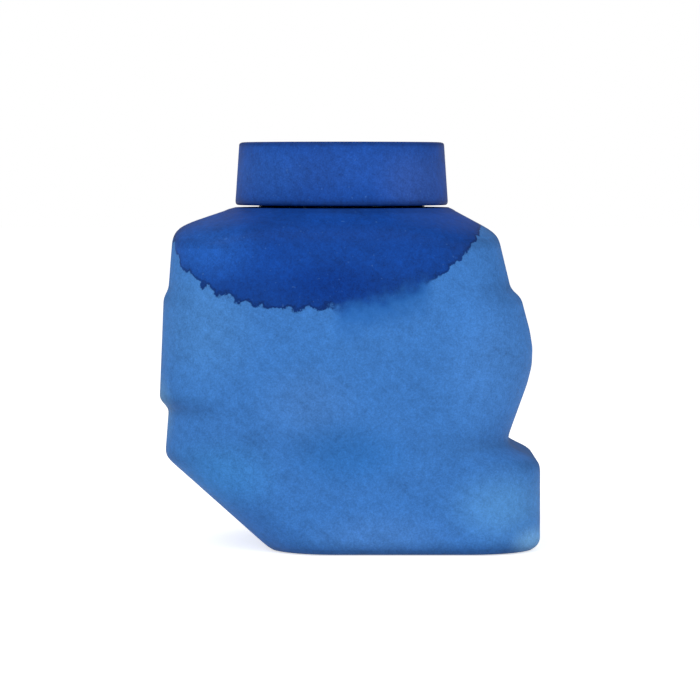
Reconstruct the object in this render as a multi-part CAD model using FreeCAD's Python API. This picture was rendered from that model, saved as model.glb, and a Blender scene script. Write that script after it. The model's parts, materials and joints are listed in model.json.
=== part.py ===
import FreeCAD, Part
import math
import os

from FreeCAD import Vector

# Ink bottle: a moulded glass body with a screw cap. Millimetres, +Z up, front face towards -Y.
# The origin is the middle of the footprint, on the surface that the bottle stands on.

# Body, seen from the front
body_width = 62.8          # across the widest stretch, from the bulged left wall to the heel
body_depth = 45.0          # front face to back face
deck_height = 56.4         # flat ring at the top of the shoulders, round the neck
corner_radius = 11.0       # upright corners, in plan
wall = 2.6                 # glass at the sides
floor_thickness = 4.5      # glass under the ink
base_round = 1.2           # edge where the walls meet the base
edge_round = 2.0           # outer turns of the walls: heel, facet and shoulders

# Facet at the lower left: the bottle leans on it so that the last of the ink gathers there
facet_height = 15.6
facet_reach = 18.4         # how far the base is cut back under the left wall

# Heel at the lower right, a ledge that carries a pen laid against the wall
heel_height = 14.8
ledge_depth = 5.8
ledge_rise = 2.6           # the ledge slopes up to the wall by this much

# Bulged right wall over the heel, and the low steps where the thicker lower wall begins
bulge = 5.2                # out from the ledge's inner edge
bulge_round = 16.0
band_drop = 14.0           # steps lie this far under the deck
right_step = 1.7
left_step = 0.8
left_lip_rise = 8.6        # lower edge of the thick left wall, above the facet
left_lip = 1.5
step_rise = 1.5            # height over which a step runs out
step_round = 0.6

# Shoulders
left_shoulder_drop = 3.3
right_shoulder_drop = 4.2
right_shoulder_inset = 1.3
front_shoulder_drop = 3.6
shoulder_round = 3.2

# Neck and its thread
neck_offset = -1.4         # neck axis, left of the middle
neck_radius = 13.9
neck_wall = 3.0
neck_height = 7.7
rim_round = 0.6
thread_pitch = 3.2
thread_depth = 1.1
thread_turns = 1.1
thread_root_width = 1.5
thread_crest_width = 0.7
thread_start = 2.2         # middle of the neck thread's first end, above the deck
flank_gap = 0.25           # between the flanks that carry the cap
thread_sink = 0.25         # how far a thread's root is buried in its wall

# Cap: a threaded insert bonded in an outer shell, and a two-layer liner
deck_gap = 0.4             # shell's lower edge above the deck
deck_margin = 0.1          # deck's edge outside the shell
insert_lift = 0.3          # insert's lower edge above the shell's
running_clearance = 0.3    # insert's bore round the neck thread
insert_wall = 1.3
insert_top = 0.9
bond_gap = 0.05
shell_wall = 1.2           # at the lower edge
shell_taper = 0.7          # how much smaller the radius is at the top
shell_top = 0.9
shell_round = 1.2
shell_lip_round = 0.3
wad_thickness = 1.1
facing_thickness = 0.3
liner_clearance = 0.2
bead_depth = 0.7           # bead that keeps the liner in the insert
bead_height = 0.6
bead_gap = 0.15

# Ink
ink_level = 38.0
ink_film = 0.05            # keeps the ink's solid off the glass

# Label well in the base, with a blank paper label
label_radius = 14.0
label_thickness = 0.2
label_well = 0.6
label_margin = 0.5

# Sizes worked out from the ones above
half_width = body_width / 2
half_depth = body_depth / 2
bore_radius = neck_radius - neck_wall
insert_bore = neck_radius + thread_depth + running_clearance
insert_radius = insert_bore + insert_wall
shell_bore = insert_radius + bond_gap
shell_radius = shell_bore + shell_wall
deck_radius = shell_radius + deck_margin
rim_height = deck_height + neck_height
liner_top = rim_height + facing_thickness + wad_thickness
insert_height = liner_top + insert_top
cap_height = insert_height + shell_top

# How finely the lofts follow the outlines
ARC_STEPS = 3              # bands along each round stretch
SMALLEST_BAND = 0.12       # sections nearer than this are made one


class Outline:
    """One side of an upright wall: straight runs from the base up, joined by tangent arcs.

    Corners are (distance from the middle, height, radius). The heights rise all the way.
    """

    def __init__(self, corners):
        self.runs = []
        self.arcs = []
        start = corners[0][:2]
        for before, corner, after in zip(corners, corners[1:], corners[2:]):
            first, last, centre, radius = self.tangent_arc(before, corner, after)
            self.runs.append((start, first))
            self.arcs.append((first, last, centre, radius))
            start = last
        self.runs.append((start, corners[-1][:2]))

    @staticmethod
    def tangent_arc(before, corner, after):
        """Arc that rounds a corner, no longer than 0.45 of the shorter run beside it."""
        into = (before[0] - corner[0], before[1] - corner[1])
        out = (after[0] - corner[0], after[1] - corner[1])
        into_length = math.hypot(*into)
        out_length = math.hypot(*out)
        into = (into[0] / into_length, into[1] / into_length)
        out = (out[0] / out_length, out[1] / out_length)
        half_angle = math.acos(max(-1.0, min(1.0, into[0] * out[0] + into[1] * out[1]))) / 2
        reach = min(corner[2] / math.tan(half_angle), 0.45 * min(into_length, out_length))
        radius = reach * math.tan(half_angle)
        first = (corner[0] + into[0] * reach, corner[1] + into[1] * reach)
        last = (corner[0] + out[0] * reach, corner[1] + out[1] * reach)
        middle = (into[0] + out[0], into[1] + out[1])
        scale = radius / math.sin(half_angle) / math.hypot(*middle)
        centre = (corner[0] + middle[0] * scale, corner[1] + middle[1] * scale)
        return first, last, centre, radius

    def heights(self):
        """Heights where a section is needed: run ends, and steps along each arc."""
        found = [self.runs[0][0][1], self.runs[-1][1][1]]
        for first, last, centre, radius in self.arcs:
            for step in range(ARC_STEPS + 1):
                found.append(first[1] + (last[1] - first[1]) * step / ARC_STEPS)
        return found

    def at(self, height):
        """Distance from the middle at a height."""
        for first, last, centre, radius in self.arcs:
            if first[1] <= height <= last[1]:
                side = 1 if first[0] + last[0] > 2 * centre[0] else -1
                rise = height - centre[1]
                return centre[0] + side * math.sqrt(max(0.0, radius ** 2 - rise ** 2))
        for start, end in self.runs:
            if start[1] - 1e-9 <= height <= end[1] + 1e-9:
                share = (height - start[1]) / (end[1] - start[1])
                return start[0] + (end[0] - start[0]) * share
        raise ValueError(f"no outline at {height}")


def left_outline():
    """Left wall: facet, thick lower wall with its lip, low step, shoulder."""
    lip = facet_height + left_lip_rise
    step = deck_height - band_drop
    upper = half_width - left_lip
    return Outline([
        (half_width - facet_reach, 0, 0),
        (half_width - left_lip * 0.6, facet_height, edge_round),
        (upper, lip - step_rise / 2, step_round),
        (half_width, lip + step_rise / 2, step_round),
        (upper + left_step, step - step_rise / 2, step_round),
        (upper, step + step_rise / 2, step_round),
        (upper - left_step, deck_height - left_shoulder_drop, shoulder_round),
        (deck_radius - neck_offset, deck_height, 0),
    ])


def right_outline():
    """Right wall: heel and ledge, bulge, low step, shoulder."""
    inner_ledge = half_width - ledge_depth
    step = deck_height - band_drop
    swell = (heel_height + ledge_rise + step) / 2 + edge_round
    return Outline([
        (half_width - base_round, 0, 0),
        (half_width, base_round, base_round),
        (half_width, heel_height, edge_round),
        (inner_ledge, heel_height + ledge_rise, edge_round),
        (inner_ledge + bulge, swell, bulge_round),
        (inner_ledge + bulge / 2, step - step_rise / 2, step_round),
        (inner_ledge + bulge / 2 - right_step, step + step_rise / 2, step_round),
        (inner_ledge - right_shoulder_inset, deck_height - right_shoulder_drop, shoulder_round),
        (deck_radius + neck_offset, deck_height, 0),
    ])


def front_outline():
    """Front wall, and the back one: upright, with a round shoulder."""
    return Outline([
        (half_depth - base_round, 0, 0),
        (half_depth, base_round, base_round),
        (half_depth, deck_height - front_shoulder_drop, 1.6 * shoulder_round),
        (deck_radius, deck_height, 0),
    ])


def inner_left_outline(film=0.0):
    """Inside of the left wall, parallel to the facet and then to the wall."""
    thickness = wall + film
    floor = floor_thickness + film
    run = facet_reach - left_lip * 0.6
    lean = run / facet_height
    foot = half_width - facet_reach - thickness * math.hypot(lean, 1) + floor * lean
    inner = half_width - left_lip - left_step - thickness
    facet_top = floor + (inner - foot) / lean
    shoulder = deck_height - left_shoulder_drop - thickness
    return Outline([
        (foot, floor, 0),
        (inner, facet_top, edge_round + wall),
        (inner, shoulder, shoulder_round),
        (bore_radius - neck_offset, deck_height - wall / 2, 0),
    ])


def inner_right_outline(film=0.0):
    """Inside of the right wall: the heel stays solid glass."""
    floor = floor_thickness + film
    inner_ledge = half_width - ledge_depth - wall - film
    step = deck_height - band_drop
    swell = (heel_height + ledge_rise + step) / 2 + edge_round
    shoulder = deck_height - right_shoulder_drop - wall
    inner_round = edge_round + base_round
    return Outline([
        (inner_ledge - inner_round, floor, 0),
        (inner_ledge, floor + inner_round, inner_round),
        (inner_ledge, heel_height + ledge_rise, edge_round),
        (inner_ledge + bulge * 0.7, swell, bulge_round),
        (inner_ledge - right_shoulder_inset, shoulder, shoulder_round),
        (bore_radius + neck_offset, deck_height - wall / 2, 0),
    ])


def inner_front_outline(film=0.0):
    """Inside of the front and back walls."""
    floor = floor_thickness + film
    inner = half_depth - wall - film
    inner_round = edge_round + base_round
    shoulder = deck_height - front_shoulder_drop - wall
    return Outline([
        (inner - inner_round, floor, 0),
        (inner, floor + inner_round, inner_round),
        (inner, shoulder, 1.6 * shoulder_round),
        (bore_radius, deck_height - wall / 2, 0),
    ])


def plan_wire(left, right, front, height, corner):
    """Rounded rectangle at a height, from -left to right and from -front to front."""
    corner = min(corner, 0.97 * front, 0.48 * (left + right))
    bend = corner * (1 - math.sqrt(0.5))
    edges = []
    corners = [(right, -front, -1, 1), (right, front, -1, -1),
               (-left, front, 1, -1), (-left, -front, 1, 1)]
    points = []
    for x, y, in_x, in_y in corners:
        beside_x = Vector(x + in_x * corner, y, height)
        beside_y = Vector(x, y + in_y * corner, height)
        middle = Vector(x + in_x * bend, y + in_y * bend, height)
        along_x_first = in_x * in_y < 0
        first, last = (beside_x, beside_y) if along_x_first else (beside_y, beside_x)
        points.append((first, middle, last))
    for index, (first, middle, last) in enumerate(points):
        edges.append(Part.Arc(first, middle, last).toShape())
        following = points[(index + 1) % 4][0]
        edges.append(Part.LineSegment(last, following).toShape())
    return Part.Wire(edges)


def stack(left, right, front, corner, round_corner):
    """Solid through the plan sections of three outlines. Corners grow to a circle at the top."""
    top = front.runs[-1][1][1]
    shoulder = front.arcs[-1][0][1]
    wanted = sorted(left.heights() + right.heights() + front.heights())
    levels = [wanted[0]]
    for height in wanted[1:]:
        if height - levels[-1] > SMALLEST_BAND:
            levels.append(height)
    levels[-1] = top
    wires = []
    for height in levels:
        share = max(0.0, (height - shoulder) / (top - shoulder))
        radius = corner + (round_corner - corner) * share
        wires.append(plan_wire(left.at(height), right.at(height), front.at(height), height, radius))
    return Part.makeLoft(wires, True, True)


def turned(points):
    """Solid of revolution about the neck axis from (radius, height) points."""
    corners = [Vector(radius, 0, height) for radius, height in points]
    face = Part.Face(Part.makePolygon(corners + corners[:1]))
    solid = face.revolve(Vector(0, 0, 0), Vector(0, 0, 1), 360)
    solid.translate(Vector(neck_offset, 0, 0))
    return solid


def thread_ridge(wall_radius, outwards, start, turns, start_angle):
    """One helical ridge on a wall of the given radius, its root buried in that wall."""
    helix = Part.makeHelix(thread_pitch, thread_pitch * turns, wall_radius)
    sign = 1 if outwards else -1
    root = wall_radius - sign * thread_sink
    crest = wall_radius + sign * thread_depth
    corners = [Vector(root, 0, -thread_root_width / 2), Vector(crest, 0, -thread_crest_width / 2),
               Vector(crest, 0, thread_crest_width / 2), Vector(root, 0, thread_root_width / 2)]
    pipe = Part.BRepOffsetAPI.MakePipeShell(Part.Wire(helix.Edges))
    pipe.setFrenetMode(True)
    pipe.add(Part.makePolygon(corners + corners[:1]))
    pipe.build()
    pipe.makeSolid()
    ridge = pipe.shape()
    ridge.rotate(Vector(0, 0, 0), Vector(0, 0, 1), start_angle)
    ridge.translate(Vector(neck_offset, 0, start))
    return ridge


def round_edges(solid, radius, *heights):
    """Rounds the circular edges of a solid of revolution that lie at the given heights."""
    chosen = [edge for edge in solid.Edges if any(
        abs(edge.BoundBox.ZMin - height) < 1e-4 and abs(edge.BoundBox.ZMax - height) < 1e-4
        for height in heights)]
    return solid.makeFillet(radius, chosen)


def glass_bottle():
    """Moulded body with its neck, thread, cavity and label well."""
    body = stack(left_outline(), right_outline(), front_outline(), corner_radius, deck_radius)
    cavity = stack(inner_left_outline(), inner_right_outline(), inner_front_outline(),
                   corner_radius - wall, bore_radius)
    neck_foot = deck_height - wall / 2
    neck = turned([(0, neck_foot), (neck_radius, neck_foot), (neck_radius, rim_height), (0, rim_height)])
    neck = round_edges(neck, rim_round, rim_height)
    bore = turned([(0, neck_foot - 0.4 * wall), (bore_radius, neck_foot - 0.4 * wall),
                   (bore_radius, rim_height + wall), (0, rim_height + wall)])
    ridge = thread_ridge(neck_radius, True, deck_height + thread_start, thread_turns, 0)
    well = Part.makeCylinder(label_radius + label_margin, label_well, Vector(label_centre(), 0, 0))
    return body.fuse(neck).cut(cavity).cut(bore).fuse(ridge).cut(well)


def label_centre():
    """Middle of the flat base, which the facet pushes to the right."""
    return facet_reach / 2


def ink():
    """The ink, up to its level, a film's thickness off the glass."""
    pool = stack(inner_left_outline(ink_film), inner_right_outline(ink_film),
                 inner_front_outline(ink_film), corner_radius - wall, bore_radius)
    above = Part.makeBox(2 * body_width, 2 * body_depth, deck_height,
                         Vector(-body_width, -body_depth, ink_level))
    return pool.cut(above)


def base_label():
    """Blank paper disc in the label well."""
    seat = label_well - label_thickness
    return Part.makeCylinder(label_radius, label_thickness, Vector(label_centre(), 0, seat))


def cap_shell():
    """Outer shell: a low cup that narrows upwards, with a rounded top edge."""
    foot = deck_height + deck_gap
    outside = [(0, foot), (shell_radius, foot), (shell_radius - shell_taper, cap_height), (0, cap_height)]
    shell = round_edges(turned(outside), shell_round, cap_height)
    shell = round_edges(shell, shell_lip_round, foot)
    return shell.cut(turned([(0, foot), (shell_bore, foot), (shell_bore, insert_height), (0, insert_height)]))


def cap_insert():
    """Threaded insert, bonded in the shell, with a bead that keeps the liner in."""
    foot = deck_height + deck_gap + insert_lift
    bead_top = rim_height - bead_gap
    bead_foot = bead_top - bead_height
    bead_radius = insert_bore - bead_depth
    insert = turned([
        (0, insert_height), (insert_radius, insert_height), (insert_radius, foot), (insert_bore, foot),
        (insert_bore, bead_foot), (bead_radius, bead_foot + bead_height / 3),
        (bead_radius, bead_top - bead_height / 3), (insert_bore, bead_top),
        (insert_bore, liner_top), (0, liner_top),
    ])
    mean_width = (thread_root_width + thread_crest_width) / 2
    lowest = foot + thread_root_width / 2 + thread_sink
    start = deck_height + thread_start - mean_width - flank_gap
    angle = 360 * (lowest - start) / thread_pitch
    ridge = thread_ridge(insert_bore, False, lowest, cap_thread_turns(lowest, bead_foot), angle)
    return insert.fuse(ridge)


def cap_thread_turns(lowest, highest):
    """Turns of the insert's thread, which stops under the bead."""
    room = (highest - lowest - thread_root_width) / thread_pitch
    return min(thread_turns, room)


def liner_wad():
    """Foamed disc that gives the liner its spring."""
    foot = rim_height + facing_thickness
    return Part.makeCylinder(insert_bore - liner_clearance, wad_thickness, Vector(neck_offset, 0, foot))


def liner_facing():
    """Film under the wad, the face that seals on the rim."""
    return Part.makeCylinder(insert_bore - liner_clearance, facing_thickness,
                             Vector(neck_offset, 0, rim_height))


nodes = {
    "glass_bottle": glass_bottle,
    "ink": ink,
    "base_label": base_label,
    "cap_shell": cap_shell,
    "cap_insert": cap_insert,
    "liner_wad": liner_wad,
    "liner_facing": liner_facing,
}

os.makedirs("parts", exist_ok=True)
for name, make in nodes.items():
    shape = make()
    if len(shape.Solids) != 1 or not shape.isValid():
        raise RuntimeError(f"{name}: {len(shape.Solids)} solids, valid {shape.isValid()}")
    shape.Solids[0].exportStep(f"parts/{name}.step")
    print(f"{name}: {shape.Volume:.1f} mm3")
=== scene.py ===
# %% [markdown]
# # An ink bottle under two washes of blue
# The bottle is moulded glass with a wide threaded neck, a facet that it can be leaned on, and a
# heel whose top carries a pen. Its maker brushed a light blue lacquer over the whole body and, when
# that was dry, a darker coat over the cap and shoulders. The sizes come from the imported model, so
# this script starts by loading it.

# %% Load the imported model
import json
import math

import bpy
import numpy as np
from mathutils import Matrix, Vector


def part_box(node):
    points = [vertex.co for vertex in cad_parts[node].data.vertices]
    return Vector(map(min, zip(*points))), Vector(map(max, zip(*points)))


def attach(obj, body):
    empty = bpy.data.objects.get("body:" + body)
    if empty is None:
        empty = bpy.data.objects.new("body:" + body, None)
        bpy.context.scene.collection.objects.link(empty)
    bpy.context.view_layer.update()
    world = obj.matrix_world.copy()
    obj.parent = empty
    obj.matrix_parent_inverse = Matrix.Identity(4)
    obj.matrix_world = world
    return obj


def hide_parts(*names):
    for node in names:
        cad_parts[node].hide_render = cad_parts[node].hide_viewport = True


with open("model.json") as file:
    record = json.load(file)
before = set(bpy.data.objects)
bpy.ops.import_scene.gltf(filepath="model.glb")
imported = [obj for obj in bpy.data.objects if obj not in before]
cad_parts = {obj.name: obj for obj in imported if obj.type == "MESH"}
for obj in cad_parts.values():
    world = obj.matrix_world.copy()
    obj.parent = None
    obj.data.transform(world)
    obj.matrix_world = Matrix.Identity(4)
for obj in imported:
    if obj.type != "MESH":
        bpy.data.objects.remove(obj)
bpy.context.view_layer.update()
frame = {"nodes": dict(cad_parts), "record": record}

MM = 0.001

# %% [markdown]
# ## The camera, the light and the floor
# The bottle is seen head on from just over the table, through a long lens, so that its outline stays
# nearly as flat as a drawing. A low world light and two large soft lamps light it plainly. More light
# on a white card would whiten the backdrop, but the bottle would wash out too, so the floor and the
# world only look brighter to rays that the camera sends out, whether straight or through glass. The
# floor also does so to reflected rays.

# %% Camera
LENS = 180.0
SENSOR = 36.0
VIEW_WIDTH = 115.5 * MM
VIEW_ELEVATION = math.radians(3.0)
VIEW_CENTRE = Vector((0.0, -11.0 * MM, 33.0 * MM))


def make_camera():
    """A long-lens camera in front of the bottle, a little above the table."""
    data = bpy.data.cameras.new("front_camera")
    data.lens = LENS
    data.sensor_width = SENSOR
    distance = VIEW_WIDTH * LENS / SENSOR
    back = Vector((0.0, -math.cos(VIEW_ELEVATION), math.sin(VIEW_ELEVATION)))
    camera = bpy.data.objects.new("front_camera", data)
    bpy.context.scene.collection.objects.link(camera)
    camera.location = VIEW_CENTRE + back * distance
    camera.rotation_euler = (math.radians(90.0) - VIEW_ELEVATION, 0.0, 0.0)
    bpy.context.scene.camera = camera
    return distance


print("camera distance in metres:", round(make_camera(), 3))
bpy.context.scene.view_settings.view_transform = "Standard"

# %% [markdown]
# ## Expressions for shaders
# A shader is a graph of sockets, but most of what a finish needs is arithmetic: this mask times that
# one, one minus the other. Wrapping a socket in a small class lets Python write the sums, and each
# operator adds its Math node.

# %% A socket that can be used in sums
class Value:
    """A socket of a material, usable in a Python expression."""

    def __init__(self, finish, socket):
        self.finish = finish
        self.socket = socket

    def math(self, operation, *values):
        return self.finish.node("ShaderNodeMath", {"operation": operation}, list(values))

    def __add__(self, other):
        return self.math("ADD", self, other)

    def __sub__(self, other):
        return self.math("SUBTRACT", self, other)

    def __rsub__(self, other):
        return self.math("SUBTRACT", other, self)

    def __mul__(self, other):
        return self.math("MULTIPLY", self, other)

    def __truediv__(self, other):
        return self.math("DIVIDE", self, other)

    def root(self):
        return self.math("SQRT", self)

    def size(self):
        return self.math("ABSOLUTE", self)

    def at_least(self, other):
        return self.math("MAXIMUM", self, other)


def blue(red, green, blue_level):
    """A colour written as screen levels from 0 to 255, as a linear colour with alpha."""
    def linear(level):
        share = level / 255.0
        return share / 12.92 if share <= 0.04045 else ((share + 0.055) / 1.055) ** 2.4
    return (linear(red), linear(green), linear(blue_level), 1.0)


# %% [markdown]
# A material is then a small object with a place in millimetres and a few tools of the trade: soft
# noise, a stretched copy of the place for brush streaks, smooth steps, round patches and a bump. Node
# by node it could be wired by hand, but the sums that make this finish would be hard to read.

# %% The graph of one material
class Finish:
    """One material under construction. Lengths in its expressions are millimetres."""

    def __init__(self, name):
        self.material = bpy.data.materials.new(name)
        self.material.use_nodes = True
        self.tree = self.material.node_tree
        self.tree.nodes.clear()
        place = self.node("ShaderNodeTexCoord", output="Object")
        self.place = self.vector("SCALE", place, scale=1.0 / MM)
        parts = self.node("ShaderNodeSeparateXYZ", {}, [self.place], every=True)
        self.x, self.y, self.z = parts

    def feed(self, socket, value):
        """Links a value into a socket, or sets the socket."""
        if isinstance(value, Value):
            self.tree.links.new(value.socket, socket)
        else:
            socket.default_value = value

    def node(self, kind, settings=None, inputs=(), output=0, every=False):
        """Adds a node: its settings first, then its sockets, by order or by name."""
        made = self.tree.nodes.new(kind)
        for key, value in (settings or {}).items():
            setattr(made, key, value)
        pairs = inputs.items() if isinstance(inputs, dict) else enumerate(inputs)
        for key, value in pairs:
            self.feed(made.inputs[key], value)
        if every:
            return [Value(self, socket) for socket in made.outputs]
        return Value(self, made.outputs[output])

    def vector(self, operation, first, second=(0.0, 0.0, 0.0), scale=1.0):
        values = {0: first, 3: scale} if operation == "SCALE" else {0: first, 1: second}
        return self.node("ShaderNodeVectorMath", {"operation": operation}, values)

    def stretched(self, along_x, along_y, along_z, turn=0.0):
        """The place turned about the depth axis and divided by lengths in millimetres, for streaks."""
        return self.node("ShaderNodeMapping", {"vector_type": "TEXTURE"}, {
            "Vector": self.place,
            "Rotation": (0.0, turn, 0.0),
            "Scale": (along_x, along_y, along_z),
        })

    def noise(self, size, detail=2.0, place=None, roughness=0.5):
        """Soft noise around 0.5 whose patches are about size millimetres across."""
        return self.node("ShaderNodeTexNoise", {}, {
            "Vector": place or self.place,
            "Scale": 1.0 / size,
            "Detail": detail,
            "Roughness": roughness,
        })

    def step(self, value, low, high):
        """0 below low and 1 above high, with a soft rise between."""
        return self.node("ShaderNodeMapRange", {"interpolation_type": "SMOOTHSTEP"},
                         {"Value": value, "From Min": low, "From Max": high})

    def mix(self, first, second, share):
        """Colour between two colours."""
        made = self.tree.nodes.new("ShaderNodeMix")
        made.data_type = "RGBA"
        for index, value in ((0, share), (6, first), (7, second)):
            self.feed(made.inputs[index], value)
        return Value(self, made.outputs[2])

    def attribute(self, name):
        """A number that the mesh carries at each point."""
        return self.node("ShaderNodeAttribute", {"attribute_name": name}, output="Fac")

    def patch(self, x, z, wide, high):
        """A soft round patch on the front and the back: 1 in its middle, 0 outside."""
        across = (self.x - x) / wide
        up = (self.z - z) / high
        reach = (across * across + up * up).root()
        return 1.0 - self.step(reach, 0.1, 1.0)

    def bump(self, height, strength, depth):
        """A normal from a height, in millimetres of depth."""
        return self.node("ShaderNodeBump", {}, {
            "Strength": strength,
            "Distance": depth * MM,
            "Height": height,
        })

    def surface(self, fixed=None, **varying):
        """Ends the graph in a Principled shader and gives the material."""
        shader = self.tree.nodes.new("ShaderNodeBsdfPrincipled")
        for key, value in (fixed or {}).items():
            shader.inputs[key].default_value = value
        for key, value in varying.items():
            self.tree.links.new(value.socket, shader.inputs[key.replace("_", " ")])
        out = self.tree.nodes.new("ShaderNodeOutputMaterial")
        self.tree.links.new(shader.outputs[0], out.inputs["Surface"])
        return self.material


# %% [markdown]
# ## The room
# A plain floor runs under the bottle and out of sight. It is pale paper with hardly any tooth.

# %% World, lamps and floor
WORLD_LIGHT = 0.45
FLOOR_REACH = 3.0
FLOOR_LIFT = 0.66


def seen_directly(finish):
    """1 for rays from the camera and those that reach it by a mirror or through glass."""
    rays = finish.tree.nodes.new("ShaderNodeLightPath")
    camera = Value(finish, rays.outputs["Is Camera Ray"])
    glossy = Value(finish, rays.outputs["Is Glossy Ray"])
    through = Value(finish, rays.outputs["Is Transmission Ray"])
    return camera.at_least(glossy).at_least(through)


def light_world():
    """Even light from all round, white where it is seen."""
    world = bpy.data.worlds.new("studio")
    bpy.context.scene.world = world
    world.use_nodes = True
    tree = world.node_tree
    tree.nodes.clear()
    rays = tree.nodes.new("ShaderNodeLightPath")
    lit = tree.nodes.new("ShaderNodeBackground")
    lit.inputs["Strength"].default_value = WORLD_LIGHT
    white = tree.nodes.new("ShaderNodeBackground")
    either = tree.nodes.new("ShaderNodeMath")
    either.operation = "MAXIMUM"
    tree.links.new(rays.outputs["Is Camera Ray"], either.inputs[0])
    tree.links.new(rays.outputs["Is Transmission Ray"], either.inputs[1])
    chosen = tree.nodes.new("ShaderNodeMixShader")
    tree.links.new(either.outputs[0], chosen.inputs[0])
    tree.links.new(lit.outputs[0], chosen.inputs[1])
    tree.links.new(white.outputs[0], chosen.inputs[2])
    for background in (lit, white):
        background.inputs["Color"].default_value = (1.0, 1.0, 1.0, 1.0)
    out = tree.nodes.new("ShaderNodeOutputWorld")
    tree.links.new(chosen.outputs[0], out.inputs["Surface"])


def add_lamp(name, place, wide, watts):
    """A square soft lamp that points at the bottle's middle."""
    data = bpy.data.lights.new(name, "AREA")
    data.size = wide
    data.energy = watts
    lamp = bpy.data.objects.new(name, data)
    bpy.context.scene.collection.objects.link(lamp)
    lamp.location = place
    aim = VIEW_CENTRE - Vector(place)
    lamp.rotation_euler = aim.to_track_quat("-Z", "Y").to_euler()


def lay_floor():
    """A pale sheet under the bottle that keeps the shadow."""
    finish = Finish("pale_floor")
    tooth = finish.noise(0.6, 3.0)
    paper = finish.mix(blue(240, 240, 240), blue(247, 247, 247), tooth)
    diffuse = finish.node("ShaderNodeBsdfDiffuse", {}, {"Color": paper})
    glow = finish.node("ShaderNodeEmission", {}, {
        "Color": (1.0, 1.0, 1.0, 1.0),
        "Strength": seen_directly(finish) * FLOOR_LIFT,
    })
    both = finish.node("ShaderNodeAddShader", {}, [diffuse, glow])
    out = finish.tree.nodes.new("ShaderNodeOutputMaterial")
    finish.tree.links.new(both.socket, out.inputs["Surface"])
    mesh = bpy.data.meshes.new("floor")
    reach = FLOOR_REACH
    corners = [(-reach, -reach, 0), (reach, -reach, 0), (reach, reach, 0), (-reach, reach, 0)]
    mesh.from_pydata(corners, [], [(0, 1, 2, 3)])
    mesh.materials.append(finish.material)
    floor = bpy.data.objects.new("floor", mesh)
    bpy.context.scene.collection.objects.link(floor)


light_world()
add_lamp("key_lamp", (-0.35, -0.55, 0.55), 0.5, 3.0)
add_lamp("fill_lamp", (0.5, -0.4, 0.3), 0.5, 1.2)
lay_floor()

# %% [markdown]
# ## Reading the bottle's outline
# The moulded body could be drawn again from numbers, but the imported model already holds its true
# outline. Cutting its mesh level by level gives how far the outer and inner walls stand from the
# middle at each height, and a short moving average turns the moulder's facets into flowing glass.

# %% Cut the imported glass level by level
LEVELS = 190
SMOOTHING = 5


def triangles(node):
    """Corners of a CAD node's triangles, three points each, in metres."""
    mesh = frame["nodes"][node].data
    mesh.calc_loop_triangles()
    points = np.empty(len(mesh.vertices) * 3)
    mesh.vertices.foreach_get("co", points)
    corners = np.empty(len(mesh.loop_triangles) * 3, int)
    mesh.loop_triangles.foreach_get("vertices", corners)
    return points.reshape(-1, 3)[corners].reshape(-1, 3, 3)


def cut(corners, axis, level):
    """Segments where triangles cross a plane, from pairs of ends on their edges."""
    side = corners[..., axis] - level
    ends = []
    found = []
    for first, second in ((0, 1), (1, 2), (2, 0)):
        crossing = (side[:, first] < 0) != (side[:, second] < 0)
        share = side[:, first] / np.where(crossing, side[:, first] - side[:, second], 1.0)
        ends.append(corners[:, first] + share[:, None] * (corners[:, second] - corners[:, first]))
        found.append(crossing)
    keep = sum(part.astype(int) for part in found) == 2
    pairs = []
    for row in np.nonzero(keep)[0]:
        pairs.append([ends[k][row] for k in range(3) if found[k][row]])
    return np.array(pairs)


def walls_at(segments, across, along, middle):
    """Sorted crossings of level segments with a line: outer and inner walls on it."""
    side = segments[:, :, across] - middle
    crossing = (side[:, 0] < 0) != (side[:, 1] < 0)
    side = side[crossing]
    chosen = segments[crossing]
    share = side[:, 0] / (side[:, 0] - side[:, 1])
    places = chosen[:, 0, along] + share * (chosen[:, 1, along] - chosen[:, 0, along])
    return np.sort(places)


cap_low, cap_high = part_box("cap_shell")
glass_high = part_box("glass_bottle")[1]
ink_low, ink_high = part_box("ink")
label_low, label_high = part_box("base_label")
film_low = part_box("liner_facing")[0]
neck_x = (cap_low.x + cap_high.x) / 2
label_x = (label_low.x + label_high.x) / 2
glass = triangles("glass_bottle")
deck_z = max(z for z in np.unique(glass[..., 2].round(6))
             if z < cap_low.z and np.isclose(glass[..., 2], z, atol=1e-6).sum() > 100)
print("neck axis at x", round(neck_x, 5), "deck at z", round(float(deck_z), 5))

# %% [markdown]
# A line through the cut finds the outer wall first and the inner wall next, from either side. Their
# distances at even heights are the bottle's drawing.

# %% Outer and inner walls as smooth functions of height
def smooth(values):
    """Moving average that keeps both ends."""
    padded = np.pad(values, SMOOTHING // 2, mode="edge")
    kernel = np.ones(SMOOTHING) / SMOOTHING
    result = np.convolve(padded, kernel, mode="valid")
    result[0], result[-1] = values[0], values[-1]
    return result


def read_walls(low, high, inner):
    """Left, right and front reach of the outer or the inner wall between two heights."""
    heights = np.linspace(low, high, LEVELS)
    reach = []
    for height in heights:
        nudge = 1e-6 if height < (low + high) / 2 else -1e-6
        segments = cut(glass, 2, height + nudge)
        across = walls_at(segments, 1, 0, 1e-6)
        deep = walls_at(segments, 0, 1, neck_x)
        place = 1 if inner else 0
        reach.append((across[place], across[-1 - place], deep[-1 - place]))
    left, right, front = (smooth(column) for column in np.array(reach).T)
    return heights, left, right, front


outer = read_walls(0.0, float(deck_z), inner=False)
cavity_floor = ink_low.z
inner = read_walls(cavity_floor, float(deck_z) - 1.4 * MM, inner=True)
print("body from x", round(outer[1].min(), 4), "to", round(outer[2].max(), 4),
      "and y", round(outer[3].max(), 4))

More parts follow.
